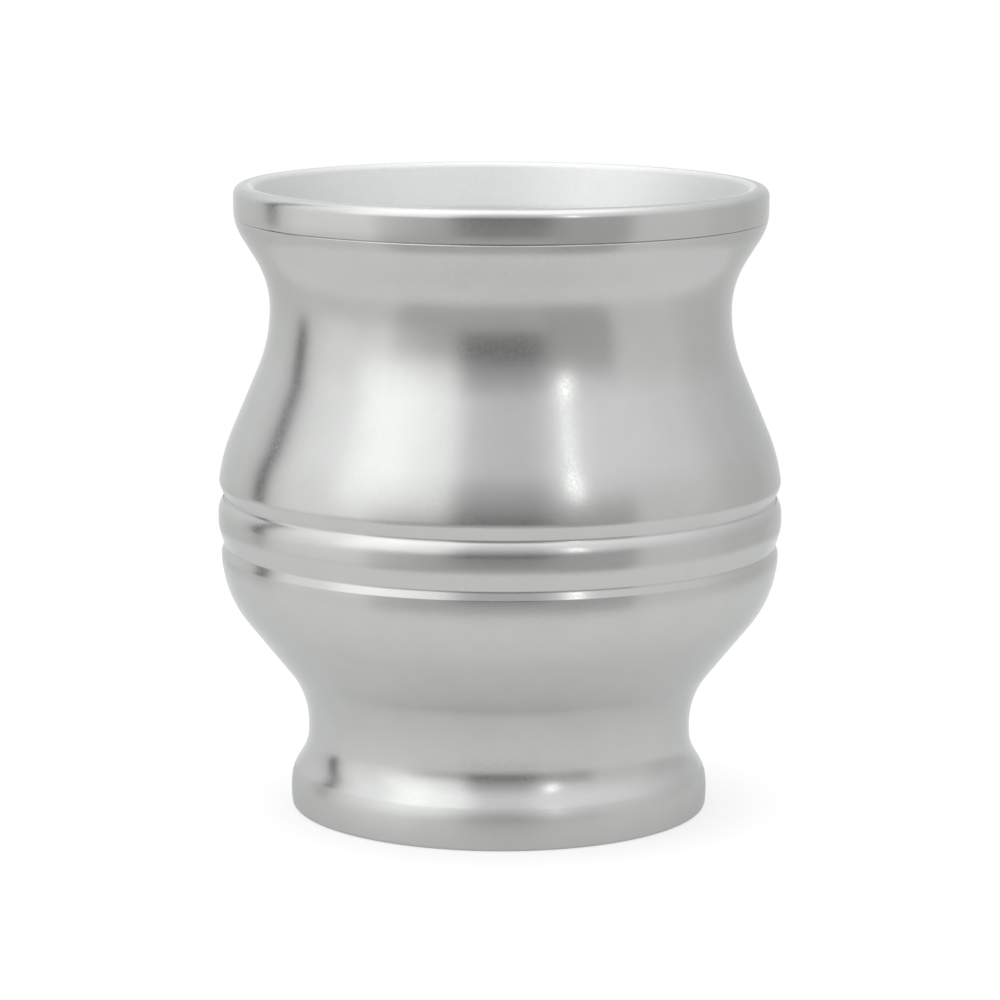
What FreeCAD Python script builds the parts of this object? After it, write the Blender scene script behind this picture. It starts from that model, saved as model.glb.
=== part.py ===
import FreeCAD, Part

import math
import os

# A drawn steel cup: one piece of sheet, round about Z, that stands on Z = 0.
# All sizes are millimetres and all angles are degrees.
#
# Its section is a string of circles joined by their common tangents, listed from the
# lip down to the middle of the base. A circle that bulges away from the metal is a
# "bulge", and a circle that the metal bends round from outside is a "hollow". The
# inside of the cup follows the same circles, one wall thickness further in, up to the
# neck. Above it the metal thickens into a solid lip, and the mouth opens as a funnel.

# ---- sheet ----
wall = 1.0

# ---- neck: the narrowest place under the lip ----
neck_diameter = 69.26
neck_rise = 31.3           # above the middle of the bead
lip_rise = 15.0            # from the neck up to where the lip's side ends
neck_upper_radius = 14.4
neck_lower_radius = 23.9

# ---- lip: a solid band with a flat top, which opens into the neck as a funnel ----
lip_flare = 5.37           # how far the lip stands out from the neck
lip_width = 3.3            # of the flat top, from the outside to the bore
lip_edge = 1.0             # chamfer of the outer top edge
lip_bore_edge = 0.2        # chamfer of the inner top edge
lip_bore_face = 0.9        # from the top down to where the funnel starts
funnel_height = 6.2
lip_face = 3.5             # from the top down to where the side starts to turn in
lip_under_radius = 7.9     # outside, from the lip's side into the flare
line_drop = 5.0            # from the top down to the scribed line
line_width = 0.3
line_depth = 0.15

# ---- belly, which rolls over a small shoulder into the upper groove ----
belly_radius = 27.3
shoulder_diameter = 84.7
shoulder_rise = 2.4        # above the upper groove
shoulder_radius = 2.1
shoulder_angle = 7.8       # above level, where the belly turns into the shoulder

# ---- two rolled grooves and the bead between them ----
upper_groove_diameter = 83.2
upper_groove_rise = 3.1
bead_diameter = 85.0
bead_flat = 1.2            # straight stretch of the crown
bead_upper_radius = 3.6
bead_lower_radius = 5.5
lower_groove_diameter = 83.3
lower_groove_drop = 4.2

# ---- lower body ----
edge_radius = 1.2          # under the lower groove
lower_body_diameter = 84.1
lower_body_drop = 1.3      # its widest height below the lower groove
lower_body_radius = 16.1
bowl_rise = 32.1           # from the top of the waist up to the middle of the bead

# ---- waist above the foot ----
waist_diameter = 58.0
waist_face = 1.0
waist_rise = 8.6           # from the widest height of the foot
waist_upper_radius = 13.4
waist_lower_radius = 7.6

# ---- foot and base ----
foot_diameter = 63.3
foot_rise = 3.0            # height of its widest place
foot_radius = 7.2
heel_edge = 0.5            # chamfer under the foot
ring_diameter = 53.0       # inner edge of the ring that the cup stands on
recess_depth = 1.5
recess_run = 2.0           # how far its side slopes in

# An S-curve uses at most this share of the radii that would just fit its room.
s_curve_share = 0.98

# Two points of the section that are closer than this are one point.
least_edge = 1e-4

lip_diameter = neck_diameter + 2 * lip_flare

# ---- heights, stacked up from the table ----
waist_low = foot_rise + waist_rise
waist_high = waist_low + waist_face
bead_middle = waist_high + bowl_rise
upper_groove = bead_middle + upper_groove_rise
lower_groove = bead_middle - lower_groove_drop
shoulder_middle = upper_groove + shoulder_rise
lower_body_middle = lower_groove - lower_body_drop
neck_middle = bead_middle + neck_rise
lip_corner = neck_middle + lip_rise
cup_height = lip_corner + lip_face


class Circle:
    """One circle of the section: its centre, its radius and which way it bends."""

    def __init__(self, x, z, radius, bulge):
        self.x = x
        self.z = z
        self.radius = radius
        self.bulge = bulge
        self.reach = radius if bulge else -radius

    def point(self, normal):
        """The point of the outline where its outward normal is the given direction."""
        return FreeCAD.Vector(self.x + self.reach * normal[0], 0, self.z + self.reach * normal[1])


def bulge(diameter, height, radius):
    """A bulge that touches the given diameter at the given height."""
    return Circle(diameter / 2 - radius, height, radius, True)


def hollow(diameter, height, radius):
    """A hollow that touches the given diameter at the given height."""
    return Circle(diameter / 2 + radius, height, radius, False)


def grow_from(circle, radius, angle):
    """A larger bulge that meets a bulge at the given angle above level."""
    step = radius - circle.radius
    turn = math.radians(angle)
    return Circle(circle.x - step * math.cos(turn), circle.z - step * math.sin(turn), radius, True)


def corner(x, z):
    """A sharp corner of the section, as a circle with no radius."""
    return Circle(x, z, 0, True)


def inner(circle):
    """The same bend on the inside of the sheet. A sharp bend stays sharp."""
    if circle.radius == 0:
        return Circle(circle.x - wall, circle.z, 0, circle.bulge)
    return Circle(circle.x, circle.z, circle.radius - circle.reach / circle.radius * wall, circle.bulge)


def s_curve_scale(wide_diameter, narrow_diameter, height, radii):
    """What two radii of an S-curve are scaled by, where its room is too small for them."""
    step = (wide_diameter - narrow_diameter) / 2
    room = (step**2 + height**2) / (2 * step)
    return min(1.0, s_curve_share * room / radii)


def tangent_normal(first, second):
    """Outward normal of the common tangent, walking from the first to the second circle."""
    dx = second.x - first.x
    dz = second.z - first.z
    length = math.hypot(dx, dz)
    along = max(-1.0, min(1.0, (first.reach - second.reach) / length))
    across = math.sqrt(1 - along**2)
    return (along * dx - across * dz) / length, (along * dz + across * dx) / length


def turn_between(start, end):
    """Signed angle from one normal to the next, the short way round."""
    turn = math.atan2(end[1], end[0]) - math.atan2(start[1], start[0])
    return (turn + math.pi) % (2 * math.pi) - math.pi


def outline(circles, first_normal, last_normal):
    """Arcs and tangent lines along the circles, as a list of edges end to end."""
    normals = [first_normal]
    normals += [tangent_normal(a, b) for a, b in zip(circles, circles[1:])]
    normals.append(last_normal)
    edges = []
    reached = circles[0].point(first_normal)
    for circle, start, end in zip(circles, normals, normals[1:]):
        begin = circle.point(start)
        if reached.distanceToPoint(begin) > least_edge:
            edges.append(Part.makeLine(reached, begin))
            reached = begin
        finish = circle.point(end)
        if reached.distanceToPoint(finish) > least_edge:
            half = math.atan2(start[1], start[0]) + turn_between(start, end) / 2
            middle = circle.point((math.cos(half), math.sin(half)))
            edges.append(Part.Arc(reached, middle, finish).toShape())
            reached = finish
    return edges


def lines(points):
    """Straight edges through points of the section, given as (x, z)."""
    corners = [FreeCAD.Vector(x, 0, z) for x, z in points]
    return [Part.makeLine(a, b) for a, b in zip(corners, corners[1:])]


def end_point(circle, height):
    """Where a bulge's lower half reaches a height, as (x, z)."""
    drop = circle.z - height
    return circle.x + math.sqrt(circle.radius**2 - drop**2), height


def normal_at(circle, height):
    """Outward normal of a bulge where it reaches a height."""
    x, z = end_point(circle, height)
    return (x - circle.x) / circle.radius, (z - circle.z) / circle.radius


def section_circles():
    """The circles of the outside, from under the lip's top edge to the foot."""
    flare = s_curve_scale(
        lip_diameter, neck_diameter, lip_rise, lip_under_radius + neck_upper_radius
    )
    shoulder = bulge(shoulder_diameter, shoulder_middle, shoulder_radius)
    belly = grow_from(shoulder, belly_radius, shoulder_angle)
    upper_body = s_curve_scale(
        2 * (belly.x + belly.radius), neck_diameter, neck_middle - belly.z,
        neck_lower_radius + belly_radius,
    )
    crown = s_curve_scale(
        bead_diameter, upper_groove_diameter, upper_groove_rise - bead_flat / 2, bead_upper_radius
    )
    crown_end = s_curve_scale(
        bead_diameter, lower_groove_diameter, lower_groove_drop - bead_flat / 2, bead_lower_radius
    )
    edge = s_curve_scale(
        lower_body_diameter, lower_groove_diameter, lower_body_drop, edge_radius
    )
    bowl = s_curve_scale(
        lower_body_diameter, waist_diameter, lower_body_middle - waist_high,
        lower_body_radius + waist_upper_radius,
    )
    foot_curve = s_curve_scale(
        foot_diameter, waist_diameter, waist_rise, waist_lower_radius + foot_radius
    )
    return {
        "lip": bulge(lip_diameter, lip_corner, lip_under_radius * flare),
        "upper neck": hollow(neck_diameter, neck_middle, neck_upper_radius * flare),
        "lower neck": hollow(neck_diameter, neck_middle, neck_lower_radius * upper_body),
        "belly": grow_from(shoulder, belly_radius * upper_body, shoulder_angle),
        "shoulder": shoulder,
        "upper groove": hollow(upper_groove_diameter, upper_groove, 0),
        "bead top": bulge(bead_diameter, bead_middle + bead_flat / 2, bead_upper_radius * crown),
        "bead bottom": bulge(
            bead_diameter, bead_middle - bead_flat / 2, bead_lower_radius * crown_end
        ),
        "lower groove": hollow(lower_groove_diameter, lower_groove, 0),
        "edge": bulge(lower_body_diameter, lower_body_middle, edge_radius * edge),
        "lower body": bulge(lower_body_diameter, lower_body_middle, lower_body_radius * bowl),
        "upper waist": hollow(waist_diameter, waist_high, waist_upper_radius * bowl),
        "lower waist": hollow(waist_diameter, waist_low, waist_lower_radius * foot_curve),
        "foot": bulge(foot_diameter, foot_rise, foot_radius * foot_curve),
    }


def inside_circles(circles):
    """The circles of the inside, from the neck down. The two small rolls are sharp there."""
    inside = {name: inner(circle) for name, circle in circles.items()}
    del inside["lip"], inside["upper neck"]
    turn = math.radians(shoulder_angle)
    roll = inside["belly"].point((math.cos(turn), math.sin(turn)))
    inside["shoulder"] = corner(roll.x, roll.z)
    inside["edge"] = corner(lower_body_diameter / 2 - wall, lower_body_middle)
    return inside


def outside_edges(circles):
    """From the lip's outer top edge down the outside and in to the middle of the base."""
    side = lip_diameter / 2
    ring = ring_diameter / 2
    foot = circles["foot"]
    foot_end = end_point(foot, heel_edge)
    lip = lines([(side - lip_edge, cup_height), (side, cup_height - lip_edge), (side, lip_corner)])
    base = lines([
        foot_end,
        (foot_end[0] - heel_edge, 0),
        (ring, 0),
        (ring - recess_run, recess_depth),
        (0, recess_depth),
    ])
    return lip + outline(list(circles.values()), (1, 0), normal_at(foot, heel_edge)) + base


def inside_edges(circles):
    """From the lip's inner top edge down the inside and in to the middle of the floor."""
    inside = inside_circles(circles)
    bore = lip_diameter / 2 - lip_width
    throat = neck_diameter / 2 - wall
    ring = ring_diameter / 2
    foot = inside["foot"]
    funnel_top = cup_height - lip_bore_face
    mitre = wall * math.tan(math.atan2(recess_depth, recess_run) / 2)
    mouth = lines([
        (bore + lip_bore_edge, cup_height),
        (bore, cup_height - lip_bore_edge),
        (bore, funnel_top),
        (throat, funnel_top - funnel_height),
        (throat, neck_middle),
    ])
    floor = lines([
        end_point(foot, wall),
        (ring + mitre, wall),
        (ring - recess_run + mitre, recess_depth + wall),
        (0, recess_depth + wall),
    ])
    return mouth + outline(list(inside.values()), (1, 0), normal_at(foot, wall)) + floor


def make_section():
    """The closed section, round from the lip to the base and back, in the XZ plane."""
    circles = section_circles()
    outside = outside_edges(circles)
    inside = inside_edges(circles)
    bore = lip_diameter / 2 - lip_width + lip_bore_edge
    middle = lines([(0, recess_depth), (0, recess_depth + wall)])
    top = lines([(bore, cup_height), (lip_diameter / 2 - lip_edge, cup_height)])
    return Part.Face(Part.Wire([*outside, *middle, *reversed(inside), *top]))


def turned(face):
    return face.revolve(FreeCAD.Vector(0, 0, 0), FreeCAD.Vector(0, 0, 1), 360)


def line_cutter():
    """The V of the fine scribed line, cut into the turn below the lip's side."""
    under = section_circles()["lip"]
    height = cup_height - line_drop
    lean = math.asin((height - under.z) / under.radius)
    normal = FreeCAD.Vector(math.cos(lean), 0, math.sin(lean))
    along = FreeCAD.Vector(-normal.z, 0, normal.x)
    surface = FreeCAD.Vector(under.x, 0, under.z) + normal * under.radius
    tip = surface - normal * line_depth
    mouth = surface + normal * line_depth
    corners = [tip, mouth + along * line_width, mouth - along * line_width, tip]
    return turned(Part.Face(Part.makePolygon(corners)))


def make_cup():
    return turned(make_section()).cut(line_cutter())


os.makedirs("parts", exist_ok=True)
cup = make_cup()
if len(cup.Solids) == 1:
    cup = cup.Solids[0]
cup.exportStep("parts/cup.step")

box = cup.optimalBoundingBox()
print(f"cup: valid {cup.isValid()}, solids {len(cup.Solids)}, faces {len(cup.Faces)}")
print(f"height {box.ZLength:.2f}, widest {box.XLength:.2f}, volume {cup.Volume / 1000:.2f} cm3")
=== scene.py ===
# %% [markdown]
# # A drawn steel cup
#
# A pot-bellied cup, pressed and spun from one sheet of stainless steel. It has a thick
# flat lip, a narrow neck, a round belly, two rolled grooves with a bead between them,
# a bowl that runs down to a waist, and a flared foot. Nothing is joined to it, so the
# whole cup is one piece, and everything depends on how true its section is and on how
# its satin finish takes the light.

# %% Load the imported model
import math

import bpy
from mathutils import Matrix, Vector


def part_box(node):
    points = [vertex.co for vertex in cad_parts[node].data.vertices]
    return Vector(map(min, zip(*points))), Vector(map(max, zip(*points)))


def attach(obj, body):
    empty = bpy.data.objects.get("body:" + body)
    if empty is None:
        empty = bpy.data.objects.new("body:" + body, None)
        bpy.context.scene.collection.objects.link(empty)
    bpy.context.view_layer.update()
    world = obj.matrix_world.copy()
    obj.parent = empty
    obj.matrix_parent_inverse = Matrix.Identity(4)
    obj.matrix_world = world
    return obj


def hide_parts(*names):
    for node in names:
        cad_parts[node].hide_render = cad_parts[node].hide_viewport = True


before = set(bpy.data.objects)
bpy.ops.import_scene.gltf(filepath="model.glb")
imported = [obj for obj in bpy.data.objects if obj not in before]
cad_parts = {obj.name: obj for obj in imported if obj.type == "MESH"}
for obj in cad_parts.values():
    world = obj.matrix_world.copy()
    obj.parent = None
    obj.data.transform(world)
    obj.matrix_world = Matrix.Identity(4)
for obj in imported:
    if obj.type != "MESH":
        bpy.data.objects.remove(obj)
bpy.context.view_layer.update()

cup_low, cup_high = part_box("cup")
print("cup body", [round(high - low, 5) for low, high in zip(cup_low, cup_high)])

# %% [markdown]
# ## The camera
#
# The cup is seen from a little above, far enough off that its sides hardly taper. A long
# lens does that. It is set first, because every later step is judged through it.
#
# The camera turns about its own line of sight by a small angle, since a hand-levelled
# tripod is never quite true. That turn is put in before the tilt, so it stays a turn
# in the picture plane.

# %% Camera
camera_distance = 0.6006
camera_height = 0.1495
camera_tilt = math.radians(9.72)
camera_turn = math.radians(0.25)
lens_length = 145.0
sensor_width = 36.0

camera_data = bpy.data.cameras.new("camera")
camera_data.lens = lens_length
camera_data.sensor_width = sensor_width
camera = bpy.data.objects.new("camera", camera_data)
bpy.context.scene.collection.objects.link(camera)
camera.matrix_world = (
    Matrix.Translation((0, -camera_distance, camera_height))
    @ Matrix.Rotation(math.pi / 2 - camera_tilt, 4, "X")
    @ Matrix.Rotation(camera_turn, 4, "Z")
)
bpy.context.scene.camera = camera
print("camera looks down", round(math.degrees(camera_tilt), 2), "degrees")

# %% [markdown]
# ## The section
#
# A press tool for such a cup is drawn with circles. Each roll of the wall is an arc, and
# neighbouring arcs touch or share a common tangent line, so the surface has no kink. Even
# the roots of the two grooves are small fillets. The same is done here: the section is a
# short list of circles from the lip to the foot, and the outline is found from their
# tangents. A curve pulled by hand through points would wobble in the reflections.
#
# A circle either bulges out of the metal or hollows into it. `reach` carries that choice
# as its sign, so one formula serves both.

# %% Circles and their common tangents
class Circle:
    """A circle of the section: its centre, its radius, and whether it bulges outwards."""

    def __init__(self, x, z, radius, bulges):
        self.x = x
        self.z = z
        self.radius = radius
        self.bulges = bulges
        self.reach = radius if bulges else -radius

    def point(self, angle):
        """The outline's point where its outward normal has this angle above level."""
        return self.x + self.reach * math.cos(angle), self.z + self.reach * math.sin(angle)


def bulge(diameter, height, radius):
    """A circle of metal that touches a diameter at a height."""
    return Circle(diameter / 2 - radius, height, radius, True)


def hollow(diameter, height, radius):
    """A circle of air that touches a diameter at a height."""
    return Circle(diameter / 2 + radius, height, radius, False)


def grow_from(circle, radius, angle):
    """A larger bulge that meets a bulge where its normal is this angle above level."""
    step = radius - circle.radius
    return Circle(
        circle.x - step * math.cos(angle), circle.z - step * math.sin(angle), radius, True
    )


def rounded_off(circle, radius, level):
    """A smaller bulge that takes a bulge round onto a level below it."""
    step = circle.radius - radius
    drop = circle.z - level - radius
    return Circle(circle.x + math.sqrt(step**2 - drop**2), level + radius, radius, True)


def tangent_angle(first, second):
    """Angle of the outward normal on the common tangent, walking down the outside."""
    dx = second.x - first.x
    dz = second.z - first.z
    length = math.hypot(dx, dz)
    along = max(-1.0, min(1.0, (first.reach - second.reach) / length))
    across = math.sqrt(1 - along**2)
    return math.atan2(along * dz + across * dx, along * dx - across * dz)


def turn_between(start, end):
    """The signed turn from one angle to the next, the short way round."""
    return (end - start + math.pi) % (2 * math.pi) - math.pi


# %% Points along a row of circles
arc_step = math.radians(6.0)
line_step = 0.002
same_point = 0.000001


def outline(circles, first_angle, last_angle):
    """Points along the arcs and tangent lines of a row of circles."""
    angles = [first_angle]
    angles += [tangent_angle(a, b) for a, b in zip(circles, circles[1:])]
    angles.append(last_angle)
    points = []
    for circle, start, end in zip(circles, angles, angles[1:]):
        begin = circle.point(start)
        if points:
            add_line(points, begin)
        turn = turn_between(start, end)
        steps = 1 + int(abs(turn) / arc_step + circle.radius * abs(turn) / line_step)
        for i in range(steps + 1):
            point = circle.point(start + turn * i / steps)
            if not points or math.dist(points[-1], point) > same_point:
                points.append(point)
    return points


def add_line(points, end):
    """Carries the points on in a straight line, in short steps, up to an end."""
    start = points[-1]
    steps = math.ceil(math.dist(start, end) / line_step)
    for i in range(1, steps + 1):
        point = [a + (b - a) * i / steps for a, b in zip(start, end)]
        if math.dist(points[-1], point) > same_point:
            points.append(tuple(point))


# %% [markdown]
# ## The cup's own sizes
#
# These are the sizes of the pressing, in metres. They follow the solid model, with small
# rounds and fillets where it has plain edges, and with a foot whose side is a little
# straighter. All heights are above the table that the cup stands on.

# %% Sizes of the sheet, the edges and the base
wall = 0.001
lip_width = 0.0033
lip_round = 0.0014
mouth_round = 0.0014
throat_radius = 0.004
groove_radius = 0.0007
line_drop = 0.005
line_width = 0.0003
line_depth = 0.00015
heel_radius = 0.0007
heel_inner_radius = 0.0008
ring_diameter = 0.053
ring_radius = 0.0016
recess_depth = 0.0015
recess_radius = 0.002
least_radius = 0.0001
print("wall", wall, "lip width", lip_width, "recess", recess_depth)

# %% Heights of the section
foot_middle = 0.0036
waist_low = 0.0116
waist_high = 0.0126
lower_body_middle = 0.0392
lower_groove = 0.0405
bead_low = 0.0441
bead_high = 0.0453
upper_groove = 0.0478
shoulder_middle = 0.0502
neck_middle = 0.076
lip_corner = 0.091
throat_top = 0.08647
cup_height = 0.0945
print("cup is", cup_height, "m high")

# %% Diameters of the section
lip_diameter = 0.08
neck_diameter = 0.06926
shoulder_diameter = 0.0847
upper_groove_diameter = 0.0832
bead_diameter = 0.085
lower_groove_diameter = 0.0833
lower_body_diameter = 0.0841
waist_diameter = 0.058
foot_diameter = 0.0632
print("bead is", bead_diameter, "m across and the foot", foot_diameter)

# %% Radii of the section
lip_under_radius = 0.0079
neck_upper_radius = 0.0144
neck_lower_radius = 0.0239
belly_radius = 0.0273
shoulder_angle = math.radians(7.8)
shoulder_radius = 0.0021
bead_upper_radius = 0.0036
bead_lower_radius = 0.0055
edge_radius = 0.0005
lower_body_radius = 0.0161
waist_upper_radius = 0.0134
waist_lower_radius = 0.0076
foot_radius = 0.0058
foot_side_radius = 0.016
foot_side_angle = math.radians(6.0)

# %% Circles from the lip to the foot
shoulder = bulge(shoulder_diameter, shoulder_middle, shoulder_radius)
foot = bulge(foot_diameter, foot_middle, foot_radius)
circles = [
    bulge(lip_diameter, lip_corner, lip_under_radius),
    hollow(neck_diameter, neck_middle, neck_upper_radius),
    hollow(neck_diameter, neck_middle, neck_lower_radius),
    grow_from(shoulder, belly_radius, shoulder_angle),
    shoulder,
    hollow(upper_groove_diameter, upper_groove, groove_radius),
    bulge(bead_diameter, bead_high, bead_upper_radius),
    bulge(bead_diameter, bead_low, bead_lower_radius),
    hollow(lower_groove_diameter, lower_groove, groove_radius),
    bulge(lower_body_diameter, lower_body_middle, edge_radius),
    bulge(lower_body_diameter, lower_body_middle, lower_body_radius),
    hollow(waist_diameter, waist_high, waist_upper_radius),
    hollow(waist_diameter, waist_low, waist_lower_radius),
    foot,
    grow_from(foot, foot_side_radius, foot_side_angle),
]
print("circles in the section", len(circles))

# %% [markdown]
# ## Outside, base and inside
#
# The outside and the inside are each walked from the lip down to the middle of the base.
# The inside follows the same circles one wall thickness further in: a bulge gets smaller
# and a hollow gets larger, about the same centres. Above the neck the metal thickens into
# a solid lip, and the mouth opens upwards as a funnel, which is why it looks so light.

# %% Outside of the section
def base_circles():
    """The standing ring, and the roll up into the recessed middle of the base."""
    ring = Circle(ring_diameter / 2, ring_radius, ring_radius, True)
    radii = ring_radius + recess_radius
    run = math.sqrt(radii**2 - (radii - recess_depth) ** 2)
    return [ring, Circle(ring.x - run, recess_depth - recess_radius, recess_radius, False)]


straight_up = math.pi / 2
straight_down = -math.pi / 2
lip_edge = bulge(lip_diameter, cup_height - lip_round, lip_round)
heel = rounded_off(circles[-1], heel_radius, 0)
outside = outline([lip_edge, *circles, heel, *base_circles()], straight_up, straight_down)
add_line(outside, (0.0, outside[-1][1]))
print("points outside", len(outside))


# %% Inside of the section
def inner(circle):
    """The same bend on the inside of the sheet."""
    if not circle.bulges:
        return Circle(circle.x, circle.z, circle.radius + wall, False)
    radius = max(circle.radius - wall, least_radius)
    return Circle(circle.x + circle.radius - wall - radius, circle.z, radius, True)


bore_edge = lip_diameter / 2 - lip_width
throat = neck_diameter / 2 - wall
mouth = [
    hollow(2 * bore_edge, cup_height - mouth_round, mouth_round),
    hollow(2 * throat, throat_top, throat_radius),
]
body = [inner(circle) for circle in circles[2:]]
floor_edge = rounded_off(body[-1], heel_inner_radius, wall)
floor = [inner(circle) for circle in base_circles()]
inside = outline([*mouth, *body, floor_edge, *floor], straight_down, straight_down)
add_line(inside, (0.0, inside[-1][1]))
print("points inside", len(inside))

# %% [markdown]
# ## The scribed line
#
# A fine line runs round the cup just below the lip, cut with a pointed tool while the cup
# turned. It is a true V in the section, because bump alone wouldn't catch the light the
# same way from every side.

# %% Cutting the V of the scribed line
def cut_line(points):
    """Replaces the points near the line's height by the two shoulders and tip of a V."""
    under = circles[0]
    lean = math.asin((cup_height - line_drop - under.z) / under.radius)
    half = line_width / 2 / under.radius
    upper = under.point(lean + half)
    lower = under.point(lean - half)
    tip_reach = under.radius - line_depth
    tip = (under.x + tip_reach * math.cos(lean), under.z + tip_reach * math.sin(lean))
    above = [p for p in points if p[1] > upper[1]]
    below = [p for p in points if p[1] < lower[1]]
    return above + [upper, tip, lower] + below


outside = cut_line(outside)
print("points outside with the line", len(outside))

# %% [markdown]
# ## One walk along the whole section
#
# The walk now starts under the middle of the base, goes out over the standing ring, up
# the outside, across the lip, and down the inside to the middle of the floor.

# %% Close the walk over the lip
lip_walk = [inside[0]]
add_line(lip_walk, outside[0])
section = list(reversed(outside)) + list(reversed(lip_walk))[1:-1] + inside
inside_start = len(section) - len(inside)
print("points in the whole section", len(section))

# %% [markdown]
# ## Fit to the solid
#
# The solid's mesh has flat facets, so its box is a hair smaller than the true circle in
# one direction. The section is scaled by that hair, and the cup then stays inside the box
# of the solid it stands for. The way up to the lip's inner edge is measured as well,
# because the inside has a rougher finish of its own and a colour painted paler as painted light.

# %% Fit the section to the box
widest = 2 * max(x for x, z in section)
box_width = min(cup_high.x - cup_low.x, cup_high.y - cup_low.y)
fit = min(1.0, box_width / widest)
rise = (cup_high.z - cup_low.z) / cup_height
section = [(x * fit, cup_low.z + z * rise) for x, z in section]
outer_walk = section[:inside_start + 1]
way_to_lip = sum(math.dist(a, b) for a, b in zip(outer_walk, outer_walk[1:]))
print("scaled across by", round(fit, 6), "and up by", round(rise, 6))

# %% [markdown]
# ## Spinning the section
#
# Spinning is a rule, so Geometry Nodes do it. The section goes in as a row of points with
# no faces. A grid is made with one row of points for each of them and one column for each
# step of the turn, and every grid point is then moved to its place: the row looks up its
# distance from the axis and its height, and the column gives the angle.
#
# The grid also gives the cup its map: U runs along the section and V runs round the cup.
# The satin finish needs that, because its fine marks run round the cup. At the end the
# two sides of the seam and the points on the axis are merged, so the skin is closed.

# %% Helpers for the node tree
def add(tree, kind, title, place, **settings):
    """A node of a kind, with a title, at a place, with its settings."""
    node = tree.nodes.new(kind)
    node.label = title
    node.location = place
    for name, value in settings.items():
        setattr(node, name, value)
    return node


def math_node(tree, operation, title, place, first, second=None):
    """A Math node whose inputs are each a socket or a number."""
    node = add(tree, "ShaderNodeMath", title, place, operation=operation)
    for socket, value in zip(node.inputs, (first, second)):
        feed(tree, socket, value)
    return node.outputs[0]


def feed(tree, socket, value):
    """Links a socket to an input, or sets the input to a number."""
    if isinstance(value, bpy.types.NodeSocket):
        tree.links.new(value, socket)
    elif value is not None:
        socket.default_value = value


# %% Tree: inputs and grid
turning = bpy.data.node_groups.new("turn_section", "GeometryNodeTree")
turning.is_modifier = True
sockets = turning.interface
sockets.new_socket("Section", in_out="INPUT", socket_type="NodeSocketGeometry")
steps_input = sockets.new_socket("Steps round", in_out="INPUT", socket_type="NodeSocketInt")
crease_input = sockets.new_socket("Crease angle", in_out="INPUT", socket_type="NodeSocketFloat")
merge_input = sockets.new_socket("Merge within", in_out="INPUT", socket_type="NodeSocketFloat")
finish_input = sockets.new_socket("Finish", in_out="INPUT", socket_type="NodeSocketMaterial")
sockets.new_socket("Cup", in_out="OUTPUT", socket_type="NodeSocketGeometry")

given = add(turning, "NodeGroupInput", "sizes", (-1400, 0))
count = add(turning, "GeometryNodeAttributeDomainSize", "points in section", (-1200, 200))
turning.links.new(given.outputs["Section"], count.inputs["Geometry"])
columns = math_node(turning, "ADD", "columns", (-1200, -100), given.outputs["Steps round"], 1)
grid = add(turning, "GeometryNodeMeshGrid", "one row a point", (-1000, 100))
turning.links.new(columns, grid.inputs["Vertices X"])
turning.links.new(count.outputs["Point Count"], grid.inputs["Vertices Y"])
print("inputs of the turning tree", len(turning.interface.items_tree) - 1)

# %% Tree: row and column of each grid point
index = add(turning, "GeometryNodeInputIndex", "index", (-1200, -300)).outputs[0]
rows = count.outputs["Point Count"]
row = math_node(turning, "MODULO", "row", (-1000, -250), index, rows)
column = math_node(turning, "FLOOR", "column", (-800, -400),
                   math_node(turning, "DIVIDE", "columns passed", (-1000, -400), index, rows))
turned_share = math_node(turning, "DIVIDE", "share of the turn", (-600, -400),
                         column, given.outputs["Steps round"])
angle = math_node(turning, "MULTIPLY", "angle", (-400, -400), turned_share, 2 * math.pi)
print("nodes so far", len(turning.nodes))

# %% Tree: look up the section and place the point
place_read = add(turning, "GeometryNodeInputPosition", "place in section", (-1000, -600))
look_up = add(turning, "GeometryNodeSampleIndex", "look up the section", (-600, -150),
              data_type="FLOAT_VECTOR", domain="POINT")
turning.links.new(given.outputs["Section"], look_up.inputs["Geometry"])
turning.links.new(place_read.outputs[0], look_up.inputs["Value"])
turning.links.new(row, look_up.inputs["Index"])
parts = add(turning, "ShaderNodeSeparateXYZ", "distance and height", (-400, -150))
turning.links.new(look_up.outputs[0], parts.inputs[0])
across = math_node(turning, "MULTIPLY", "x", (0, -100), parts.outputs["X"],
                   math_node(turning, "COSINE", "cosine", (-200, -300), angle))
along = math_node(turning, "MULTIPLY", "y", (0, -250), parts.outputs["X"],
                  math_node(turning, "SINE", "sine", (-200, -450), angle))
new_place = add(turning, "ShaderNodeCombineXYZ", "place on the cup", (200, -150))
turning.links.new(across, new_place.inputs["X"])
turning.links.new(along, new_place.inputs["Y"])
turning.links.new(parts.outputs["Z"], new_place.inputs["Z"])
moved = add(turning, "GeometryNodeSetPosition", "move to the cup", (400, 100))
turning.links.new(grid.outputs["Mesh"], moved.inputs["Geometry"])
turning.links.new(new_place.outputs[0], moved.inputs["Position"])
print("nodes so far", len(turning.nodes))

# %% Tree: the map
map_name = "around"
travelled = add(turning, "GeometryNodeInputNamedAttribute", "way along the section", (0, -500),
                data_type="FLOAT")
travelled.inputs["Name"].default_value = "travelled"
look_way = add(turning, "GeometryNodeSampleIndex", "look up the way", (200, -450),
               data_type="FLOAT", domain="POINT")
turning.links.new(given.outputs["Section"], look_way.inputs["Geometry"])
turning.links.new(travelled.outputs[0], look_way.inputs["Value"])
turning.links.new(row, look_way.inputs["Index"])
map_place = add(turning, "ShaderNodeCombineXYZ", "U along, V round", (400, -350))
turning.links.new(look_way.outputs[0], map_place.inputs["X"])
turning.links.new(turned_share, map_place.inputs["Y"])
on_points = add(turning, "GeometryNodeFieldOnDomain", "worked out on the points", (500, -350),
                data_type="FLOAT_VECTOR", domain="POINT")
turning.links.new(map_place.outputs[0], on_points.inputs[0])
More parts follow.
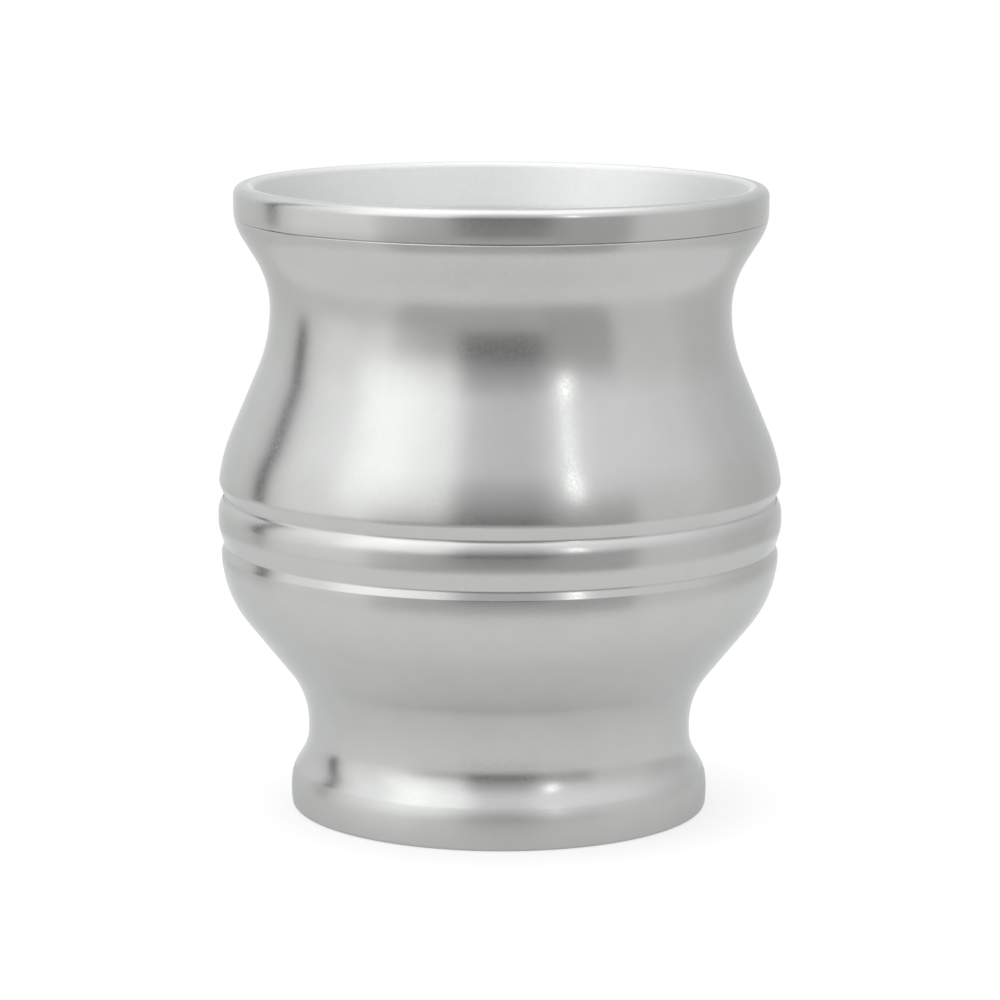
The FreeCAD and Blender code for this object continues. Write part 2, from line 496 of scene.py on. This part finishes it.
mapped = add(turning, "GeometryNodeStoreNamedAttribute", "keep the map", (600, 100),
             data_type="FLOAT2", domain="CORNER")
mapped.inputs["Name"].default_value = map_name
turning.links.new(moved.outputs[0], mapped.inputs["Geometry"])
turning.links.new(on_points.outputs[0], mapped.inputs["Value"])
print("map is called", map_name)

# %% Tree: the seam, the creases and the finish
closed = add(turning, "GeometryNodeMergeByDistance", "close seam and poles", (800, 100))
turning.links.new(mapped.outputs[0], closed.inputs["Geometry"])
turning.links.new(given.outputs["Merge within"], closed.inputs["Distance"])

smooth_faces = add(turning, "GeometryNodeSetShadeSmooth", "smooth", (1000, 100), domain="FACE")
turning.links.new(closed.outputs[0], smooth_faces.inputs["Geometry"])
fold = add(turning, "GeometryNodeInputMeshEdgeAngle", "fold of each edge", (800, -150))
gentle = math_node(turning, "LESS_THAN", "gentle edges", (1000, -150),
                   fold.outputs["Unsigned Angle"], given.outputs["Crease angle"])
creased = add(turning, "GeometryNodeSetShadeSmooth", "keep the creases", (1200, 100),
              domain="EDGE")
turning.links.new(smooth_faces.outputs[0], creased.inputs["Geometry"])
turning.links.new(gentle, creased.inputs["Shade Smooth"])
real = add(turning, "GeometryNodeRealizeInstances", "real", (1400, 100))
turning.links.new(creased.outputs[0], real.inputs[0])
finished = add(turning, "GeometryNodeSetMaterial", "finish", (1600, 100))
turning.links.new(real.outputs[0], finished.inputs["Geometry"])
turning.links.new(given.outputs["Finish"], finished.inputs["Material"])
result = add(turning, "NodeGroupOutput", "cup", (1800, 100))
turning.links.new(finished.outputs[0], result.inputs[0])
print("nodes in the turning tree", len(turning.nodes))

# %% [markdown]
# ## Satin steel
#
# The cup is stainless steel with a satin finish. Fine marks run round it, so a lamp's
# reflection stays sharp from side to side and is drawn out up and down. In the shader that
# is anisotropy, with its tangent along U, from the lip to the foot. On top come a very
# fine grain, which varies the roughness, and a faint mottling in colour. The inside is
# blasted, so it is much duller. Its colour is also painted paler than the steel, as painted
# light that makes the inside look brighter. The band at the very foot is ground, and is a
# little duller than the rest.
#
# All patterns are made from noise. Those that follow the marks read the cup's own map,
# and those that have no direction read Object coordinates.

# %% Helpers for shaders
def ramp(tree, title, place, value, low, high, to_low=0.0, to_high=1.0):
    """A value that goes from to_low to to_high while the input goes from low to high."""
    node = add(tree, "ShaderNodeMapRange", title, place)
    node.interpolation_type = "SMOOTHSTEP"
    feed(tree, node.inputs["Value"], value)
    feed(tree, node.inputs["From Min"], low)
    feed(tree, node.inputs["From Max"], high)
    feed(tree, node.inputs["To Min"], to_low)
    feed(tree, node.inputs["To Max"], to_high)
    return node.outputs["Result"]


def noise(tree, title, place, vector, scale, detail):
    """A noise pattern in the coordinates given."""
    node = add(tree, "ShaderNodeTexNoise", title, place)
    feed(tree, node.inputs["Vector"], vector)
    node.inputs["Scale"].default_value = scale
    node.inputs["Detail"].default_value = detail
    node.inputs["Roughness"].default_value = noise_roughness
    return node.outputs["Fac"]


# %% Satin steel: its numbers
marks_scale = 5200.0
marks_stretch = 0.012
grain_scale = 2600.0
mottling_scale = 160.0
noise_roughness = 0.6
dark_steel = (0.435, 0.441, 0.426, 1.0)
light_steel = (0.482, 0.486, 0.470, 1.0)
# painted light: a paler colour for the inside, so that the inside looks brighter
painted_light_inside_colour = (0.67, 0.677, 0.67, 1.0)
edge_tint = (0.78, 0.79, 0.80, 1.0)
satin_low, satin_high = 0.20, 0.26
blasted_extra = 0.42
ground_extra = 0.14
lip_fade = 0.0005
foot_band = 0.0062
foot_fade = 0.0002
bump_strength = 0.2
bump_depth = 0.00002
print("steel is rough by", satin_low, "to", satin_high)

# %% Satin steel: coordinates
steel = bpy.data.materials.new("satin_steel")
steel.use_nodes = True
nodes = steel.node_tree
nodes.nodes.clear()
surface = add(nodes, "ShaderNodeBsdfPrincipled", "steel", (600, 0))
output = add(nodes, "ShaderNodeOutputMaterial", "surface", (900, 0))
nodes.links.new(surface.outputs[0], output.inputs["Surface"])
in_object = add(nodes, "ShaderNodeTexCoord", "place", (-1400, -200)).outputs["Object"]
on_map = add(nodes, "ShaderNodeUVMap", "map", (-1400, 200), uv_map=map_name).outputs[0]
stretch = add(nodes, "ShaderNodeMapping", "drawn out round the cup", (-1200, 200))
nodes.links.new(on_map, stretch.inputs["Vector"])
stretch.inputs["Scale"].default_value = (1.0, marks_stretch, 1.0)
map_parts = add(nodes, "ShaderNodeSeparateXYZ", "parts of the map", (-1200, 500))
nodes.links.new(on_map, map_parts.inputs[0])
heights = add(nodes, "ShaderNodeSeparateXYZ", "parts of the place", (-1200, -500))
nodes.links.new(in_object, heights.inputs[0])
print("inside starts at", round(way_to_lip, 4), "m along the map")

# %% Satin steel: patterns and masks
marks = noise(nodes, "turning marks", (-900, 300), stretch.outputs[0], marks_scale, 3.0)
grain = noise(nodes, "fine grain", (-900, 0), in_object, grain_scale, 2.0)
mottling = noise(nodes, "mottling", (-900, -300), in_object, mottling_scale, 4.0)
inside_mask = ramp(nodes, "inside", (-600, 500), map_parts.outputs["X"],
                   way_to_lip - lip_fade, way_to_lip + lip_fade)
foot_mask = ramp(nodes, "ground foot", (-600, -500), heights.outputs["Z"],
                 foot_band - foot_fade, foot_band + foot_fade, 1.0, 0.0)
print("ground band is", foot_band, "m high")

# %% Satin steel: colour
tint = add(nodes, "ShaderNodeMix", "colour", (0, 200), data_type="RGBA")
nodes.links.new(mottling, tint.inputs["Factor"])
tint.inputs["A"].default_value = dark_steel
tint.inputs["B"].default_value = light_steel
# painted light: the inside gets the paler colour, a painted brightening of the inside
lighter = add(nodes, "ShaderNodeMix", "lighter inside", (300, 200), data_type="RGBA")
nodes.links.new(inside_mask, lighter.inputs["Factor"])
nodes.links.new(tint.outputs["Result"], lighter.inputs["A"])
lighter.inputs["B"].default_value = painted_light_inside_colour
nodes.links.new(lighter.outputs["Result"], surface.inputs["Base Color"])
surface.inputs["Metallic"].default_value = 1.0
surface.inputs["Anisotropic"].default_value = 0.5
surface.inputs["Specular Tint"].default_value = edge_tint
print("colour nodes", tint.label, "and", lighter.label)

# %% Satin steel: roughness
satin = ramp(nodes, "satin", (-300, 0), grain, 0.3, 0.7, satin_low, satin_high)
blasted = math_node(nodes, "MULTIPLY", "blasted inside", (-300, 500), inside_mask,
                    blasted_extra)
ground = math_node(nodes, "MULTIPLY", "ground foot", (-300, -500), foot_mask, ground_extra)
rough = math_node(nodes, "ADD", "roughness", (0, 0),
                  math_node(nodes, "ADD", "satin and inside", (-100, 0), satin, blasted), ground)
nodes.links.new(rough, surface.inputs["Roughness"])
print("inside is rougher by", blasted_extra, "and the foot's band by", ground_extra)

# %% Satin steel: tangent and bump
tangent = add(nodes, "ShaderNodeTangent", "from lip to foot", (300, -300),
              direction_type="UV_MAP", uv_map=map_name)
nodes.links.new(tangent.outputs[0], surface.inputs["Tangent"])
relief = math_node(nodes, "ADD", "marks and grain", (-300, -200),
                   math_node(nodes, "MULTIPLY", "marks", (-500, -100), marks, 0.6),
                   math_node(nodes, "MULTIPLY", "grain", (-500, -300), grain, 0.4))
bump = add(nodes, "ShaderNodeBump", "relief", (300, -100))
bump.inputs["Strength"].default_value = bump_strength
bump.inputs["Distance"].default_value = bump_depth
nodes.links.new(relief, bump.inputs["Height"])
nodes.links.new(bump.outputs[0], surface.inputs["Normal"])
print("nodes in the steel", len(nodes.nodes))

# %% [markdown]
# ## The cup
#
# The section becomes a row of points joined by edges, with the way travelled along it
# stored at each point. The turning tree spins it, and the result is turned into a plain
# mesh, so that nothing live is left on the piece.

# %% The section as a row of points
outline_mesh = bpy.data.meshes.new("section")
outline_mesh.from_pydata(
    [(x, 0.0, z) for x, z in section], [(i, i + 1) for i in range(len(section) - 1)], []
)
way = outline_mesh.attributes.new("travelled", "FLOAT", "POINT")
total = 0.0
for i, point in enumerate(section):
    if i:
        total += math.dist(section[i - 1], point)
    way.data[i].value = total
row_of_points = bpy.data.objects.new("section", outline_mesh)
bpy.context.scene.collection.objects.link(row_of_points)
print("section is", round(total, 4), "m long")

# %% Turn it into the cup
steps_round = 240
crease_angle = math.radians(20)
merge_within = 0.000002

spin = row_of_points.modifiers.new("turn", "NODES")
spin.node_group = turning
spin[steps_input.identifier] = steps_round
spin[crease_input.identifier] = crease_angle
spin[merge_input.identifier] = merge_within
spin[finish_input.identifier] = steel
evaluated = row_of_points.evaluated_get(bpy.context.evaluated_depsgraph_get())
cup_mesh = bpy.data.meshes.new_from_object(evaluated)
row_of_points.modifiers.remove(spin)
bpy.data.objects.remove(row_of_points)
cup = bpy.data.objects.new("drawn_cup", cup_mesh)
bpy.context.scene.collection.objects.link(cup)
print("faces of the cup", len(cup_mesh.polygons))

# %% Check the skin and give it its body
import bmesh

skin = bmesh.new()
skin.from_mesh(cup_mesh)
open_edges = sum(1 for edge in skin.edges if not edge.is_manifold)
volume = skin.calc_volume(signed=True)
if volume < 0:
    bmesh.ops.reverse_faces(skin, faces=skin.faces)
    skin.to_mesh(cup_mesh)
skin.free()
print("open edges", open_edges, "volume", round(volume * 1e6, 2), "cm3")

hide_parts("cup")
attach(cup, "root")

# %% [markdown]
# ## Floor
#
# The cup stands on a plain white sheet that fades into the background. More than half of
# the sheet's whiteness is its own glow, and the rest comes from the light on it, so the
# cup still darkens it a little where it stands. The glow is there for the eye and for rays
# that metal or glass sends on, so the steel mirrors the same white sheet, and it puts no
# light on the cup otherwise. The sheet reaches further behind the cup than in front of it.

# %% Rays that see the background
def sees_background(tree, looks):
    """One for rays of the eye, and for those that metal or glass sends on."""
    mirrored = math_node(tree, "MAXIMUM", "mirrored or passed on", (-600, -300),
                         looks.outputs["Is Glossy Ray"], looks.outputs["Is Transmission Ray"])
    return math_node(tree, "MAXIMUM", "sees the background", (-400, -300),
                     looks.outputs["Is Camera Ray"], mirrored)


# %% White floor
floor_radius = 0.16
floor_shift = 0.04
rim_points = 96
sheet_colour = (0.36, 0.36, 0.36, 1.0)
glow_share = 0.6

floor_mesh = bpy.data.meshes.new("floor")
floor_mesh.from_pydata(
    [
        (floor_radius * math.cos(turn), floor_radius * math.sin(turn) + floor_shift, 0.0)
        for turn in (2 * math.pi * i / rim_points for i in range(rim_points))
    ],
    [], [tuple(range(rim_points))],
)
white_floor = bpy.data.objects.new("white_floor", floor_mesh)
bpy.context.scene.collection.objects.link(white_floor)
print("floor is", 2 * floor_radius, "m across")

# %% White sheet
sheet = bpy.data.materials.new("white_sheet")
sheet.use_nodes = True
sheet_nodes = sheet.node_tree
sheet_nodes.nodes.clear()
lit = add(sheet_nodes, "ShaderNodeBsdfDiffuse", "sheet", (0, 100))
lit.inputs["Color"].default_value = sheet_colour
seen = add(sheet_nodes, "ShaderNodeLightPath", "who looks", (-800, -100))
glow = add(sheet_nodes, "ShaderNodeEmission", "glow", (0, -100))
sheet_nodes.links.new(
    math_node(sheet_nodes, "MULTIPLY", "glow to the eye", (-200, -100),
              sees_background(sheet_nodes, seen), glow_share),
    glow.inputs["Strength"],
)
both = add(sheet_nodes, "ShaderNodeAddShader", "both", (200, 0))
sheet_nodes.links.new(lit.outputs[0], both.inputs[0])
sheet_nodes.links.new(glow.outputs[0], both.inputs[1])
sheet_out = add(sheet_nodes, "ShaderNodeOutputMaterial", "surface", (400, 0))
sheet_nodes.links.new(both.outputs[0], sheet_out.inputs["Surface"])
floor_mesh.materials.append(sheet)
print("nodes in the sheet", len(sheet_nodes.nodes))

# %% [markdown]
# ## The room
#
# A polished thing shows the room more than itself. Here the room is an even white, the
# same as the background, with a few large things in it: a lighter ceiling and a soft box
# overhead, a window and a screen to the left, a narrow strip of light to the right of the
# camera, the dark block of the camera in the middle, the dim edge of the table and a dim
# panel below, and a narrow dark stand far to the left. Each is a soft-edged patch of the
# sky, given by its bearing from the camera and its height above level. The background
# that is seen directly is plain white.

# %% Room: bearing and height of each ray
world = bpy.data.worlds.new("room")
bpy.context.scene.world = world
world.use_nodes = True
room = world.node_tree
room.nodes.clear()
ray = add(room, "ShaderNodeTexCoord", "ray", (-2000, 0)).outputs["Generated"]
ray_parts = add(room, "ShaderNodeSeparateXYZ", "parts of the ray", (-1800, 0))
room.links.new(ray, ray_parts.inputs[0])
toward_camera = math_node(room, "MULTIPLY", "toward the camera", (-1600, 0),
                          ray_parts.outputs["Y"], -1.0)
bearing = math_node(room, "DEGREES", "bearing", (-1200, 0),
                    math_node(room, "ARCTAN2", "bearing in radians", (-1400, 0),
                              ray_parts.outputs["X"], toward_camera))
height = math_node(room, "DEGREES", "height", (-1200, -200),
                   math_node(room, "ARCSINE", "height in radians", (-1400, -200),
                             ray_parts.outputs["Z"]))
print("nodes that find a ray's place", len(room.nodes))

# %% Bands with soft edges
def band(title, value, low, high, soft):
    """One inside a range and none outside, with soft edges."""
    first = ramp(room, title + " starts", (-900, 0), value, low - soft, low + soft)
    last = ramp(room, title + " ends", (-900, -200), value, high - soft, high + soft, 1.0, 0.0)
    return math_node(room, "MULTIPLY", title, (-700, 0), first, last)

# %% Patches of light and dark
def patch(title, bearings, heights, bearing_soft, height_soft, strength, beneath):
    """Adds a patch of light to the room, or of dark if its strength is below zero.

    Bearings, heights and the softness of the edges are in degrees.
    """
    shape = math_node(room, "MULTIPLY", title, (-500, 0),
                      band(title + " across", bearing, *bearings, bearing_soft),
                      band(title + " up", height, *heights, height_soft))
    part = math_node(room, "MULTIPLY", title + " strength", (-300, 0), shape, strength)
    return math_node(room, "ADD", title + " added", (-100, 0), beneath, part)


# %% Room: windows, screens, camera and stand
light = ramp(room, "ceiling light", (-900, 300), height, 0.0, 55.0, 1.0, 1.42)
light = patch("soft box overhead", (-200, 200), (58, 120), 1, 12, 0.75, light)
light = patch("left window", (-105, -42), (-12, 120), 14, 14, 0.34, light)
light = patch("left screen", (-72, -20), (8, 56), 8, 10, 0.44, light)
light = patch("wall behind on the left", (-200, -128), (-5, 60), 8, 10, 0.14, light)
light = patch("camera block", (-20, 22), (-10, 34), 6, 9, -0.47, light)
light = patch("shade above the camera", (-16, 22), (38, 75), 8, 8, -0.30, light)
light = patch("edge of the table", (-54, 23), (-120, 11), 4, 6, -0.28, light)
light = patch("right strip", (30, 35), (19, 34), 2, 6, 2.8, light)
light = patch("right panel", (23, 57), (-120, 16), 2, 4, -0.35, light)
light = patch("far left stand", (-118.5, -110), (-8, 42), 3, 8, -0.92, light)
light = patch("far right shade", (100, 140), (-25, 45), 12, 10, -0.12, light)
print("nodes with all patches", len(room.nodes))

# %% Room: light for the cup
room_light = add(room, "ShaderNodeBackground", "room's light", (200, 100))
room.links.new(light, room_light.inputs["Strength"])
daylight = add(room, "ShaderNodeMix", "cooler from above", (0, 300), data_type="RGBA")
above = ramp(room, "above level", (-200, 300), height, -20.0, 30.0)
room.links.new(above, daylight.inputs["Factor"])
daylight.inputs["A"].default_value = (1.0, 1.0, 0.985, 1.0)
daylight.inputs["B"].default_value = (0.995, 1.0, 1.02, 1.0)
room.links.new(daylight.outputs["Result"], room_light.inputs["Color"])
print("daylight is cooler from above")

# %% Room: white for the eye
white = add(room, "ShaderNodeBackground", "white background", (200, -100))
white.inputs["Color"].default_value = (1.0, 1.0, 1.0, 1.0)
white.inputs["Strength"].default_value = 1.0
who_looks = add(room, "ShaderNodeLightPath", "who looks", (200, 300))
choice = add(room, "ShaderNodeMixShader", "choose", (400, 0))
room.links.new(who_looks.outputs["Is Camera Ray"], choice.inputs[0])
room.links.new(room_light.outputs[0], choice.inputs[1])
room.links.new(white.outputs[0], choice.inputs[2])
room_out = add(room, "ShaderNodeOutputWorld", "room", (600, 0))
room.links.new(choice.outputs[0], room_out.inputs["Surface"])
bpy.context.scene.view_settings.view_transform = "Standard"
print("nodes in the room", len(room.nodes))
